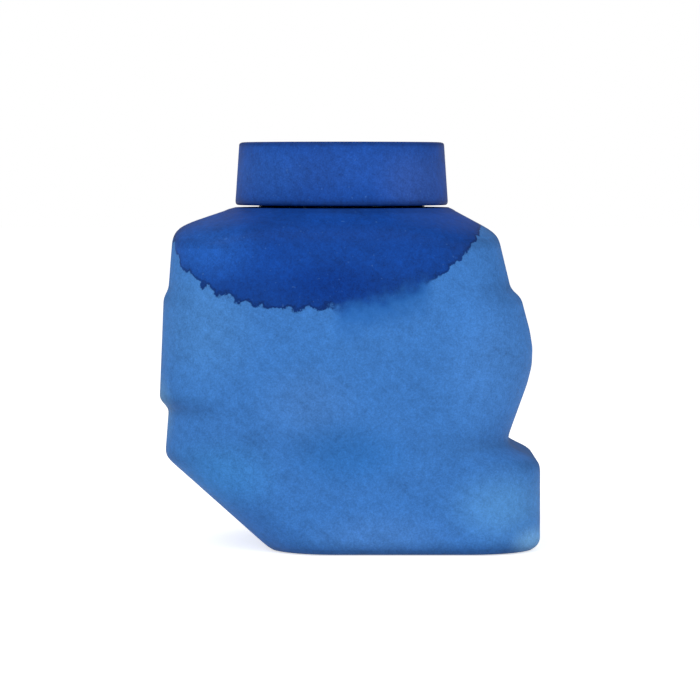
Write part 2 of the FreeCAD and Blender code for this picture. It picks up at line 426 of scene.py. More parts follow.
# %% [markdown]
# ## The glass
# Blown and moulded glass is one skin: under the base, up the outside, over the rim and down the
# inside. A stack of rings follows that skin. Each ring is the bottle's plan at one height, a
# rectangle with round corners that turns into a circle at the neck, with its points spread evenly
# by angle so that the surface doesn't pinch.

# %% Rings of one plan shape
COLUMNS = 224
CORNER = 11.0 * MM
WALL = 2.6 * MM
FULL_FRONT = 0.05 * MM
CENTRE_PASSES = 24
ARC_POINTS = 40
POINTS_BETWEEN = 24
ANGLES = np.arange(COLUMNS) * 2 * math.pi / COLUMNS


def circle(centre, radius, height):
    """A ring of points about a centre on the x axis."""
    return np.stack([centre + radius * np.cos(ANGLES), radius * np.sin(ANGLES),
                     np.full(COLUMNS, height)], 1)


def plan(centre, left, right, front, corner, height):
    """The rounded rectangle's ring, found by looking out from the centre at even angles."""
    turn = np.linspace(0, math.pi / 2, ARC_POINTS)
    corner = min(corner, 0.97 * front, 0.48 * (right - left))
    outline = []
    for quarter, (x, y) in enumerate([(right, front), (left, front), (left, -front), (right, -front)]):
        middle_x = x - corner if x == right else x + corner
        middle_y = y - corner if y > 0 else y + corner
        angle = turn + quarter * math.pi / 2
        outline.append(np.stack([middle_x + corner * np.cos(angle),
                                 middle_y + corner * np.sin(angle)], 1))
    outline = np.concatenate(outline + [outline[0][:1]])
    share = np.linspace(0, 1, POINTS_BETWEEN, endpoint=False)[:, None]
    dense = np.concatenate([a + (b - a) * share for a, b in zip(outline, outline[1:])])
    dense = dense - (centre, 0)
    angle = np.arctan2(dense[:, 1], dense[:, 0]) % (2 * math.pi)
    order = np.argsort(angle)
    reach = np.interp(ANGLES, angle[order], np.hypot(*dense[order].T), period=2 * math.pi)
    return np.stack([centre + reach * np.cos(ANGLES), reach * np.sin(ANGLES),
                     np.full(COLUMNS, height)], 1)


def wall_rings(walls, corner, top_radius):
    """Rings up one wall. Above the shoulder's start the corners grow into the neck's circle."""
    heights, left, right, front = walls
    start = heights[np.nonzero(front > front.max() - FULL_FRONT)[0][-1]]
    centre = (left + right) / 2
    for _ in range(CENTRE_PASSES):
        centre = smooth(centre)
    rings = []
    for row in range(len(heights)):
        share = max(0.0, (heights[row] - start) / (heights[-1] - start))
        radius = corner + (top_radius - corner) * share
        rings.append(plan(centre[row], left[row], right[row], front[row], radius, heights[row]))
    return rings


# %% [markdown]
# Every vessel, cap and disc here is closed and round or nearly so, so one function can stitch them
# all. A Screw modifier could turn the round ones, but not the body, and its seam would have to be
# welded. A path's corners are rounded first, since nothing moulded has a sharp one.

# %% A closed skin from a stack of rings
def skin(name, rings, finishes, zones=None):
    """A closed mesh through rings of equal length, with a point at either end."""
    count = len(rings[0])
    points = np.concatenate([rings[0].mean(0)[None], *rings, rings[-1].mean(0)[None]])
    last = len(points) - 1
    faces, kinds = [], []
    zones = zones or [0] * len(rings)
    for row in range(len(rings)):
        for column in range(count):
            here = 1 + row * count + column
            beside = 1 + row * count + (column + 1) % count
            if row == 0:
                faces.append((0, beside, here))
                kinds.append(zones[0])
            if row == len(rings) - 1:
                faces.append((last, here, beside))
                kinds.append(zones[-1])
            else:
                faces.append((here, beside, beside + count, here + count))
                kinds.append(zones[row])
    mesh = bpy.data.meshes.new(name)
    mesh.from_pydata(points.tolist(), [], faces)
    for finish in finishes:
        mesh.materials.append(finish)
    mesh.polygons.foreach_set("material_index", kinds)
    mesh.polygons.foreach_set("use_smooth", [True] * len(faces))
    piece = bpy.data.objects.new(name, mesh)
    bpy.context.scene.collection.objects.link(piece)
    print(name, len(faces), "faces")
    return piece


def rounded(path, radius, steps=4):
    """Rounds the inner corners of an open path of (reach, height) points."""
    result = [path[0]]
    for before, corner, after in zip(path, path[1:], path[2:]):
        into = Vector(before) - Vector(corner)
        out = Vector(after) - Vector(corner)
        first = Vector(corner) + into.normalized() * min(radius, into.length * 0.45)
        last = Vector(corner) + out.normalized() * min(radius, out.length * 0.45)
        for step in range(steps + 1):
            share = step / steps
            low = first.lerp(Vector(corner), share)
            high = Vector(corner).lerp(last, share)
            result.append(tuple(low.lerp(high, share)))
    result.append(path[-1])
    return result


# %% [markdown]
# ## The thread
# The thread is a ridge that climbs the neck by one pitch a turn and fades out at both ends, as a
# moulded one does. On the glass it has to be one skin with the neck, so the neck's rings swell where
# the ridge passes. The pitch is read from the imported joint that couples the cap's rise to its turn.

# %% The neck's rings with the thread in them
THREAD_DEPTH = 1.1 * MM
THREAD_FOOT = 2.2 * MM
THREAD_TURNS = 1.1
RIDGE_WIDE = 1.5 * MM
RIDGE_CREST = 0.7 * MM
NECK_RINGS = 56
RIM_ROUND = 0.6 * MM
coupling = frame["record"]["behaviour"]["couplings"][0]
pitch = coupling["ratio"] * 2 * math.pi
probe = cut(glass, 2, glass_high.z - 1.0 * MM)
neck_walls = walls_at(probe, 1, 0, 1e-6) - neck_x
neck_radius = float(neck_walls[-1])
bore_radius = float(neck_walls[-2])


def ridge(angles, height):
    """How far the thread stands out at each angle of a ring."""
    total = np.zeros(len(angles))
    for turn in (0, 1):
        travelled = angles / (2 * math.pi) + turn
        middle = deck_z + THREAD_FOOT + pitch * travelled
        away = np.abs(height - middle)
        side = np.clip((RIDGE_WIDE / 2 - away) / (RIDGE_WIDE / 2 - RIDGE_CREST / 2), 0, 1)
        fade = np.clip(np.minimum(travelled, THREAD_TURNS - travelled) / 0.06, 0, 1)
        side = side * side * (3 - 2 * side)
        total = np.maximum(total, side * fade * (3 - 2 * fade) * fade)
    return total * THREAD_DEPTH


def neck_rings():
    """Up the neck over its thread, round the rim and down into the bore."""
    root = [(neck_radius + 0.5 * MM, deck_z), (neck_radius, deck_z), (neck_radius, deck_z + 0.5 * MM)]
    rings = [circle(neck_x, reach, height) for reach, height in rounded(root, 0.5 * MM)]
    top = glass_high.z
    for height in np.linspace(deck_z + 0.6 * MM, top - RIM_ROUND, NECK_RINGS):
        swell = ridge(ANGLES, height)
        ring = circle(0.0, 1.0, height)
        ring[:, :2] *= (neck_radius + swell)[:, None]
        ring[:, 0] += neck_x
        rings.append(ring)
    rim = [(neck_radius, top - RIM_ROUND), (neck_radius, top), (bore_radius, top),
           (bore_radius, top - RIM_ROUND), (bore_radius, inner[0][-1])]
    rings += [circle(neck_x, reach, height) for reach, height in rounded(rim, RIM_ROUND)[1:]]
    return rings


print("neck radius", round(neck_radius, 5), "bore", round(bore_radius, 5), "pitch", round(pitch, 5))

# %% [markdown]
# ## The two washes
# The first coat is a light blue lacquer, thinned until the brush leaves streaks and pools. The second
# is darker, covers the cap and the shoulders, and ends in a torn edge that dips lowest near the
# middle of the front. Right of the middle it went on while the first was wet, so it bleeds down
# softly there. A painted picture wrapped round the glass would show the same thing, but it would
# blur close up and couldn't follow a change of size. So each coat is a colour field with broad
# patches, diagonal streaks and grain, and a height field lifts the second coat's edge.

# %% The washed lacquer
DARK_SIDE = 53.4
DARK_SLOPE = 0.09
DARK_MIDDLE = -3.4
DARK_REACH = 25.2
DARK_DROP = 13.0
STREAK_TURN = math.radians(38.0)
LIGHT = blue(61, 121, 194)
LIGHT_PATCHES = [
    (blue(72, 132, 201), -24.0, 38.0, 12.0, 14.0, 0.9),
    (blue(70, 126, 197), -7.0, 25.0, 11.0, 8.0, 0.9),
    (blue(50, 117, 193), 0.0, 16.5, 13.0, 7.0, 0.9),
    (blue(65, 137, 210), -21.0, 13.0, 12.0, 8.0, 0.8),
    (blue(72, 131, 204), 24.0, 30.0, 13.0, 16.0, 0.8),
    (blue(84, 147, 212), 25.0, 8.0, 12.0, 8.0, 0.9),
    (blue(73, 128, 197), 5.0, 3.0, 16.0, 6.0, 0.8),
    (blue(120, 180, 236), 30.0, 1.4, 5.0, 4.0, 0.9),
    (blue(104, 160, 208), -31.4, 23.0, 3.2, 8.0, 0.7),
]
DARK = blue(12, 68, 155)
DARK_PATCHES = [
    (blue(32, 80, 165), 0.0, 63.0, 26.0, 7.5, 0.9),
    (blue(39, 89, 173), -15.0, 62.0, 11.0, 8.0, 0.8),
    (blue(50, 89, 171), 10.5, 60.5, 8.0, 8.0, 0.8),
    (blue(32, 92, 182), -24.0, 50.0, 12.0, 8.0, 0.9),
    (blue(0, 55, 140), -3.0, 44.0, 13.0, 5.5, 0.95),
    (blue(20, 68, 150), -1.0, 56.5, 18.0, 2.2, 0.8),
]
BLEED = blue(28, 97, 177)
SPECK = blue(96, 150, 212)
# How strongly clouds, streaks, hairs, mottle and grain show in each coat.
LIGHT_UNEVEN = (0.42, 0.2, 0.1, 0.62, 0.75)
DARK_UNEVEN = (0.6, 0.3, 0.16, 0.8, 0.95)
TEETH_HIGH = 3.6
FRAYS_HIGH = 1.1
WET_SOFT = 2.0
DRY_SOFT = 0.12
BLEED_LOW = -7.0
RIM_DEPTH = -0.34
POOL_HIGH = 5.0
POOL_DEPTH = -0.16
CREASE_POOL_AND_SHADE_DEPTH = -0.36
SIDE_BLEND = 3.0
COAT_THICK = 0.12


def patched(finish, colour, patches):
    """One coat's colour with its broad patches."""
    for shade, x, z, wide, high, share in patches:
        colour = finish.mix(colour, shade, finish.patch(x, z, wide, high) * share)
    return colour


def shaded(finish, colour, amount):
    """A colour made lighter where amount is over 0 and darker where it is under 0."""
    return finish.vector("SCALE", colour, scale=amount + 1.0)


def uneven(fields, weights):
    """The weighted sum of several fields that swing about 0."""
    total = fields[0] * weights[0]
    for field, weight in zip(fields[1:], weights[1:]):
        total = total + field * weight
    return total


def coat_edge(finish):
    """How many millimetres above the second coat's torn edge a point is."""
    from_middle = finish.x - DARK_MIDDLE
    across = from_middle / DARK_REACH
    dip = (1.0 - across * across).at_least(0.0).root() * DARK_DROP
    teeth = finish.noise(1.9, 1.5) - 0.5
    frays = finish.noise(0.45, 2.0, roughness=0.7) - 0.5
    line = from_middle * DARK_SLOPE + DARK_SIDE - dip
    return finish.z - line + teeth * TEETH_HIGH + frays * FRAYS_HIGH


def washed(name, side_reach, side_from, side_full, side_shade_depth):
    """The lacquer's two coats, for the glass and for the cap, a little deeper at the sides as painted
    shade.
    """
    finish = Finish(name)
    edge = coat_edge(finish)
    wet = finish.step(finish.x, -4.0, 0.0) * (1.0 - finish.step(finish.x, 11.0, 14.5))
    softness = wet * WET_SOFT + DRY_SOFT
    second = finish.step(edge, softness * -1.0, softness)
    bleed = wet * finish.step(edge, BLEED_LOW, 0.0)
    streaks = finish.noise(1.0, 3.0, finish.stretched(14.0, 3.0, 1.1, STREAK_TURN)) - 0.5
    hairs = finish.noise(1.0, 2.0, finish.stretched(7.0, 1.0, 0.3, STREAK_TURN)) - 0.5
    clouds = finish.noise(9.0, 3.0, roughness=0.6) - 0.5
    grain = finish.noise(0.28, 2.0, roughness=0.8) - 0.5
    mottle = finish.noise(1.1, 3.0, roughness=0.75) - 0.5
    light = patched(finish, LIGHT, LIGHT_PATCHES)
    fields = (clouds, streaks, hairs, mottle, grain)
    light = shaded(finish, light, uneven(fields, LIGHT_UNEVEN))
    light = finish.mix(light, BLEED, bleed * 0.75)
    dark = patched(finish, DARK, DARK_PATCHES)
    dark = shaded(finish, dark, uneven(fields, DARK_UNEVEN))
    rim = (1.0 - finish.step((edge - 0.25).size(), 0.1, 0.6)) * (1.0 - wet)
    colour = finish.mix(light, dark, second)
    colour = shaded(finish, colour, rim * RIM_DEPTH)
    pooled = (1.0 - finish.step(edge, 0.0, POOL_HIGH)) * second
    # Painted shade: the left and right sides are made a little darker.
    aside = (finish.x - neck_x / MM).size()
    side_shade = finish.step(aside, side_reach - SIDE_BLEND, side_reach)
    side_shade = side_shade * (1.0 - finish.step(finish.y.size(), side_full, side_from))
    colour = shaded(finish, colour, pooled * POOL_DEPTH + side_shade * side_shade_depth)
    specks = finish.step(finish.noise(0.7, 1.0), 0.71, 0.78) * 0.16
    colour = finish.mix(colour, SPECK, specks)
    # Painted shade along creases and edges where the skin turns sharply; in the creases it is partly
    # pooled lacquer.
    crease = finish.attribute("crease")
    colour = shaded(finish, colour, crease * CREASE_POOL_AND_SHADE_DEPTH)
    height = second * 0.6 + streaks * 0.3 + hairs * 0.25 + grain * 0.25 + clouds * 0.5
    roughness = clouds * 0.2 + grain * 0.2 + second * -0.06 + 0.62
    return finish.surface({"Specular IOR Level": 0.12, "IOR": 1.47}, Base_Color=colour,
                          Roughness=roughness, Normal=finish.bump(height, 0.5, COAT_THICK))


# %% [markdown]
# ## Glass, ink, paper, plastic and foam
# The neck and the inside are bare soda-lime glass with faint moulding waves. The ink is dark until
# light comes through its thin edge, and has a film of dried ink at its margin. The insert is natural
# polypropylene, the wad closed-cell foam and the facing a thin vinyl film, which takes the print of
# the rim. The label is plain paper.

# %% The plain finishes
def around(finish, middle):
    """Distance in millimetres from an upright axis on the x axis."""
    across = finish.x - middle / MM
    return (across * across + finish.y * finish.y).root()


def bare_glass():
    """Clear glass with faint waves and a few seeds."""
    finish = Finish("bare_glass")
    waves = finish.noise(1.0, 2.0, finish.stretched(6.0, 6.0, 2.0))
    seeds = finish.step(finish.noise(0.6, 1.0), 0.7, 0.76)
    tint = finish.mix(blue(226, 240, 238), blue(238, 247, 248), waves)
    return finish.surface({"Transmission Weight": 1.0, "IOR": 1.52}, Base_Color=tint,
                          Roughness=waves * 0.03 + seeds * 0.08 + 0.01,
                          Normal=finish.bump(waves + seeds * 0.4, 0.25, 0.1))


def blue_ink(surface_level):
    """Dark ink, with a paler dusty skin near its surface and painted light at its top."""
    finish = Finish("blue_ink_liquid")
    swirl = finish.noise(7.0, 3.0)
    dust = finish.step(finish.noise(0.5, 1.0), 0.7, 0.78)
    # Painted light: paler near the surface, where light would come through the thin edge.
    thin_edge_light = finish.step(finish.z, surface_level / MM - 0.5, surface_level / MM + 0.4)
    body = finish.mix(blue(6, 22, 92), blue(14, 42, 128), swirl)
    colour = finish.mix(body, blue(58, 74, 168), dust * 0.5 + thin_edge_light * 0.15)
    return finish.surface({"IOR": 1.34, "Specular IOR Level": 0.5}, Base_Color=colour,
                          Roughness=dust * 0.25 + swirl * 0.04 + 0.03,
                          Normal=finish.bump(finish.noise(11.0, 1.0) + dust * 0.1, 0.08, 0.3))


def label_stock():
    """Uncoated paper, browner at its worn rim."""
    finish = Finish("label_stock")
    fibres = finish.noise(1.0, 3.0, finish.stretched(1.6, 0.25, 1.0, 0.4))
    flecks = finish.step(finish.noise(0.9, 2.0), 0.66, 0.74)
    away = around(finish, label_x)
    worn = finish.step(away + fibres * 1.2, 13.4, 14.4)
    paper = finish.mix(blue(238, 236, 228), blue(250, 249, 244), fibres)
    paper = finish.mix(paper, blue(206, 200, 186), flecks * 0.35 + worn * 0.5)
    return finish.surface({"Specular IOR Level": 0.25}, Base_Color=paper,
                          Roughness=fibres * 0.15 + 0.78,
                          Normal=finish.bump(fibres, 0.4, 0.05))


def moulded_plastic():
    """Pale plastic with flow marks, fine grain and scuffs."""
    finish = Finish("moulded_plastic")
    flow = finish.noise(1.0, 2.0, finish.stretched(5.0, 5.0, 1.2))
    grain = finish.noise(0.2, 2.0)
    scuffs = finish.step(finish.noise(1.0, 2.0, finish.stretched(3.0, 0.4, 0.2, 0.2)), 0.62, 0.72)
    body = finish.mix(blue(214, 217, 220), blue(234, 236, 237), flow)
    body = finish.mix(body, blue(188, 194, 204), scuffs * 0.4 + grain * 0.1)
    return finish.surface({"Subsurface Weight": 0.1, "Subsurface Scale": 0.0008}, Base_Color=body,
                          Roughness=flow * 0.12 + scuffs * 0.2 + 0.33,
                          Normal=finish.bump(grain * 0.5 + scuffs * 0.5 + flow * 0.4, 0.3, 0.04))


def liner_foam():
    """Closed-cell foam."""
    finish = Finish("liner_foam_cells")
    cells = finish.node("ShaderNodeTexVoronoi", {"feature": "F1"},
                        {"Vector": finish.place, "Scale": 3.2, "Randomness": 0.9})
    clouds = finish.noise(4.0, 2.0)
    body = finish.mix(blue(216, 215, 208), blue(240, 240, 236), cells * 1.6)
    body = finish.mix(body, blue(224, 220, 204), clouds * 0.4)
    return finish.surface({"Specular IOR Level": 0.2}, Base_Color=body,
                          Roughness=clouds * 0.1 + 0.8, Normal=finish.bump(cells, 0.7, 0.12))


def liner_film(rim_radius):
    """Thin film with the print of the rim and splashes of ink inside it."""
    finish = Finish("liner_film_skin")
    away = around(finish, neck_x)
    from_rim = (away - rim_radius / MM).size()
    pressed = 1.0 - finish.step(from_rim, 0.9, 1.5)
    wrinkles = finish.noise(1.8, 3.0)
    splash = finish.step(finish.noise(3.2, 3.0, roughness=0.65), 0.6, 0.66)
    body = finish.mix(blue(236, 238, 240), blue(247, 248, 249), wrinkles)
    body = finish.mix(body, blue(60, 92, 176), splash * (1.0 - finish.step(away, 9.0, 12.5)) * 0.6)
    body = finish.mix(body, blue(206, 210, 220), pressed * 0.5)
    return finish.surface({"IOR": 1.5}, Base_Color=body, Roughness=wrinkles * 0.15 + 0.25,
                          Normal=finish.bump(pressed * -0.8 + wrinkles * 0.3, 0.5, 0.12))


washed_glass = washed("washed_glass_coats", 24.0, 15.0, 11.0, -0.2)
washed_cap = washed("washed_cap_coats", 17.0, 8.0, 0.5, -0.2)
clear_glass = bare_glass()
plastic = moulded_plastic()
print("finishes:", [material.name for material in bpy.data.materials])

# %% [markdown]
# ## Building the glass
# Colour is deeper where the skin turns sharply: lacquer pools in the creases, and shade is painted
# along the creases and edges. So each point also carries how sharply the surface turns. A cavity mask
# worked out by the shader would cost more and bake unevenly. The bottle stands on a ring of small
# moulded bars, so the base is a hair above the table.

# %% The bottle's rings
BASE_LIFT = 0.18 * MM
WELL_RADIUS = 14.5 * MM
DECK_RADIUS = 17.95 * MM
BASE_STEPS = 8
CREASE_FULL = math.radians(70.0)


def between(first, last, steps):
    """Rings that pass evenly from one to the other, without the first."""
    return [first + (last - first) * step / steps for step in range(1, steps + 1)]


def turning(rings):
    """How sharply the skin turns at each ring, over the two rings on either side."""
    rows = np.array(rings)
    along = np.diff(rows, axis=0)
    along /= np.maximum(np.linalg.norm(along, axis=2, keepdims=True), 1e-9)
    bend = np.arccos(np.clip((along[1:] * along[:-1]).sum(2), -1, 1))
    bend = np.pad(bend, ((3, 3), (0, 0)))
    total = sum(bend[start:start + len(rings)] for start in range(5))
    return np.clip(total / CREASE_FULL, 0, 1)


def add_crease(piece, rings):
    """Stores the turning on the points of a skin."""
    values = np.zeros(len(piece.data.vertices))
    values[1:-1] = turning(rings).reshape(-1)
    layer = piece.data.attributes.new("crease", "FLOAT", "POINT")
    layer.data.foreach_set("value", values)


def bottle_rings():
    """The glass's rings from the label's well to the cavity's floor, and each ring's finish."""
    body = wall_rings(outer, CORNER, DECK_RADIUS)
    body[0] = body[1] * (1, 1, 0) + (0, 0, BASE_LIFT)
    well = label_high.z
    path = [(0.4 * MM, well), (WELL_RADIUS, well), (WELL_RADIUS, BASE_LIFT),
            (WELL_RADIUS + 1.2 * MM, BASE_LIFT)]
    rings = [circle(label_x, reach, height) for reach, height in rounded(path, 0.3 * MM)]
    foot = np.array(body[1])
    foot[:, 2] = BASE_LIFT
    middle = foot.mean(0)
    inset = middle + (foot - middle) * 0.985
    rings += between(rings[-1], inset, BASE_STEPS)
    lifted = [ring for ring in body if ring[0, 2] > 2 * BASE_LIFT]
    rings += lifted
    neck = neck_rings()
    rings += between(rings[-1], neck[0], 4)
    zones = [0] * (len(rings) + 2)
    rings += neck
    cavity = wall_rings(inner, CORNER - WALL, bore_radius)[::-3]
    rings += cavity
    floor = np.array(cavity[-1])
    floor_middle = floor.mean(0)
    for share in (0.97, 0.85, 0.6, 0.3, 0.05):
        ring = floor_middle + (floor - floor_middle) * share
        ring[:, 2] = cavity_floor
        rings.append(ring)
    zones += [1] * (len(rings) - len(zones))
    return rings, zones


rings, zones = bottle_rings()
bottle = skin("glass_skin", rings, [washed_glass, clear_glass], zones)
add_crease(bottle, rings)
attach(bottle, "bottle")
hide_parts("glass_bottle")

# %% [markdown]
# ## The ring of bars under the base
# The bars follow the base's outline a little way in. Geometry Nodes can fillet a rectangle, walk
# along it and stand a bar across it at even steps, with a little unevenness from a fixed seed.

# %% [markdown]
# A tree is built from its sockets up, so a helper keeps its named inputs together, runs it once and
# keeps the plain mesh.

# %% A small helper for geometry trees
class Grower:
    """A Geometry Nodes tree with named inputs that ends in one mesh with one finish."""

    def __init__(self, name, **inputs):
        self.tree = bpy.data.node_groups.new(name, "GeometryNodeTree")
        self.tree.interface.new_socket("Mesh", in_out="OUTPUT", socket_type="NodeSocketGeometry")
        self.values = inputs
        self.sockets = {}
        for key, value in inputs.items():
            kind = "NodeSocketInt" if isinstance(value, int) else "NodeSocketFloat"
            made = self.tree.interface.new_socket(key, in_out="INPUT", socket_type=kind)
            made.default_value = value
            self.sockets[key] = made.identifier
        self.entry = self.tree.nodes.new("NodeGroupInput")

    def given(self, key):
        """The socket of one of the tree's named inputs."""
        return self.entry.outputs[key]

    def feed(self, socket, value):
        """Links a socket into another, or sets it."""
        if isinstance(value, bpy.types.NodeSocket):
            self.tree.links.new(value, socket)
        else:
            socket.default_value = value

    def add(self, kind, settings=None, **inputs):
        """Adds a node. Underscores in an input's name stand for spaces."""
        made = self.tree.nodes.new(kind)
        for key, value in (settings or {}).items():
            setattr(made, key, value)
        for key, value in inputs.items():
            wanted = key.replace("_", " ")
            socket = next(entry for entry in made.inputs if entry.enabled and entry.name == wanted)
            self.feed(socket, value)
        return [socket for socket in made.outputs if socket.enabled]

    def sum(self, operation, first, second):
        """A Math node on two sockets or numbers."""
        made = self.tree.nodes.new("ShaderNodeMath")
        made.operation = operation
        self.feed(made.inputs[0], first)
        self.feed(made.inputs[1], second)
        return made.outputs[0]

    def grow(self, name, geometry, finish):
        """Runs the tree and keeps its result as a plain mesh object."""
        real = self.add("GeometryNodeRealizeInstances", Geometry=geometry)
        dressed = self.add("GeometryNodeSetMaterial", Geometry=real[0], Material=finish)
        end = self.tree.nodes.new("NodeGroupOutput")
        self.tree.links.new(dressed[0], end.inputs[0])
        seed = bpy.data.objects.new(name + "_seed", bpy.data.meshes.new(name + "_seed"))
        bpy.context.scene.collection.objects.link(seed)
        modifier = seed.modifiers.new("grow", "NODES")
        modifier.node_group = self.tree
        for key, identifier in self.sockets.items():
            modifier[identifier] = self.values[key]
        bpy.context.view_layer.update()
        ready = seed.evaluated_get(bpy.context.evaluated_depsgraph_get())
        mesh = bpy.data.meshes.new_from_object(ready)
        mesh.name = name
        seed.modifiers.remove(modifier)
        bpy.data.objects.remove(seed)
        piece = bpy.data.objects.new(name, mesh)
        bpy.context.scene.collection.objects.link(piece)
        print(name, len(mesh.polygons), "faces")
        return piece


# %% [markdown]
# On the real base the bars keep the hot glass off the belt and stop the bottle from slipping. They
# could be copied in a Python loop, but the tree keeps their number and spacing as inputs.

# %% Bars along the base
BAR_COUNT = 132
BAR_INSET = 2.4 * MM
BAR_LONG = 1.7 * MM
BAR_WIDE = 0.42 * MM
BAR_CLEAR = 0.02 * MM


def stand_bars():
    """Small bars side by side round the base's edge."""
    left, right, front = (float(side[0]) for side in outer[1:])
    grower = Grower("base_bar_ring", Length=right - left - 2 * BAR_INSET,
                    Depth=2 * (front - BAR_INSET), Corner=CORNER - BAR_INSET, Bars=BAR_COUNT,
                    Height=2 * BASE_LIFT, Unevenness=0.12, Seed=7)
    path = grower.add("GeometryNodeCurvePrimitiveQuadrilateral", Width=grower.given("Length"),
                      Height=grower.given("Depth"))
    path = grower.add("GeometryNodeFilletCurve", {"mode": "POLY"}, Curve=path[0],
                      Radius=grower.given("Corner"), Count=16)
    steps = grower.add("GeometryNodeCurveToPoints", Curve=path[0], Count=grower.given("Bars"))
    size = grower.add("ShaderNodeCombineXYZ", X=BAR_WIDE, Y=BAR_LONG, Z=grower.given("Height"))
    bar = grower.add("GeometryNodeMeshCube", Size=size[0])
    lowest = grower.sum("SUBTRACT", 1.0, grower.given("Unevenness"))
    vary = grower.add("FunctionNodeRandomValue", Min=lowest, Max=1.0, Seed=grower.given("Seed"))
    stretch = grower.add("ShaderNodeCombineXYZ", X=vary[0], Y=vary[0], Z=1.0)
    upright = grower.add("FunctionNodeAlignRotationToVector", {"axis": "X", "pivot_axis": "Z"},
                         Vector=steps[1])
    bars = grower.add("GeometryNodeInstanceOnPoints", Points=steps[0], Instance=bar[0],
                      Rotation=upright[0], Scale=stretch[0])
    half = grower.sum("MULTIPLY", grower.given("Height"), 0.5)
    high = grower.sum("ADD", half, BAR_CLEAR)
    place = grower.add("ShaderNodeCombineXYZ", X=(left + right) / 2, Y=0.0, Z=high)
    bars = grower.add("GeometryNodeTransform", Geometry=bars[0], Translation=place[0])
    return grower.grow("base_bars", bars[0], washed_glass)


bars = stand_bars()
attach(bars, "bottle")

# %% [markdown]
# ## The cap
# The cap is two mouldings. A thin outer shell carries the colour, tapers a little so that it leaves
# its mould, and sinks slightly in the middle of its top. The insert inside it grips the glass. Its
# thread should be the partner of the neck's, a helix swept as a ridge that fades in and out.

# %% Turned pieces
def turned_rings(path, radius, steps=4):
    """Rings round the neck's axis through a path of (reach, height), with rounded corners."""
    return [circle(neck_x, reach, height) for reach, height in rounded(path, radius, steps)]


def turned_piece(name, path, radius, finish, body, node):
    """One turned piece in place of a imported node."""
    rings = turned_rings(path, radius)
    piece = skin(name, rings, [finish])
    add_crease(piece, rings)
    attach(piece, body)
    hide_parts(node)
    return piece


# %% [markdown]
# Both mouldings are drawn as half sections. The shell's draft is given in several short steps, so
# that rounding its corners doesn't reach into its wall. The insert's bead stands just under the liner
# and keeps it from falling out of the open cap.

# %% Shell and insert
SHELL_BORE = 16.65 * MM
SHELL_FOOT_REACH = 17.85 * MM
SHELL_TOP_REACH = 17.15 * MM
TOP_SINK = 0.12 * MM
INSERT_REACH = 16.6 * MM
INSERT_BORE = 15.3 * MM
BEAD_REACH = 14.6 * MM
BEAD_HIGH = 0.6 * MM
NEAR_AXIS = 0.02 * MM
insert_low, insert_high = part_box("cap_insert")
wad_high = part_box("liner_wad")[1]


def shell_path():
    """The outer shell, from under its ceiling, down inside and up outside."""
    top, foot = cap_high.z, cap_low.z
    ceiling = insert_high.z
    rise = [(SHELL_FOOT_REACH + (SHELL_TOP_REACH - SHELL_FOOT_REACH) * share,
             foot + (top - foot) * share) for share in (0.0, 0.15, 0.3, 0.45, 0.6, 0.75, 0.9)]
    return [(NEAR_AXIS, ceiling), (SHELL_BORE / 2, ceiling), (SHELL_BORE, ceiling),
            (SHELL_BORE, (foot + ceiling) / 2), (SHELL_BORE, foot), *rise,
            (SHELL_TOP_REACH, top), (SHELL_TOP_REACH - 2.4 * MM, top),
            (SHELL_TOP_REACH - 3.2 * MM, top - TOP_SINK), (6.0 * MM, top - TOP_SINK * 1.3),
            (NEAR_AXIS, top - TOP_SINK * 1.4)]


def insert_path():
    """The insert, with the bead that holds the liner."""
    top, foot = insert_high.z, insert_low.z
    ceiling = wad_high.z
    bead = film_low.z - 0.15 * MM
    return [(NEAR_AXIS, ceiling), (INSERT_BORE / 2, ceiling), (INSERT_BORE, ceiling),
            (INSERT_BORE, bead + 0.1 * MM), (BEAD_REACH, bead), (BEAD_REACH, bead - BEAD_HIGH * 0.6),
            (INSERT_BORE, bead - BEAD_HIGH), (INSERT_BORE, (bead + foot) / 2), (INSERT_BORE, foot),
            (INSERT_REACH, foot), (INSERT_REACH, (foot + top) / 2), (INSERT_REACH, top),
            (INSERT_REACH / 2, top), (NEAR_AXIS, top)]


turned_piece("cap_outer", shell_path(), 0.9 * MM, washed_cap, "cap", "cap_shell")
turned_piece("cap_inner", insert_path(), 0.18 * MM, plastic, "cap", "cap_insert")

# %% [markdown]
# On the real insert the thread is moulded in one with the wall. Here it is a ridge of its own, a
# little sunk in the wall, because a helix swept by Geometry Nodes keeps an even section where a
# displaced wall would stretch. Two faults are still open. Curve Spiral winds clockwise unless its
# Reverse input is on, so this ridge is left-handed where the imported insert's is right-handed, and it
# cuts through the neck's thread for a little over the cap's first turn. Its section also faces the
# wrong way, with the wide side towards the glass.

# %% The insert's thread
INNER_START = 95.6
INNER_FOOT = 1.0 * MM
INNER_SINK = 0.05 * MM
THREAD_SIDE = 90.0
THREAD_SHIFT = 0.5
THREAD_FADE = 0.05
THREAD_STEPS = 160
THREAD_ROUND = 0.12 * MM
LEAST_SCALE = 0.04


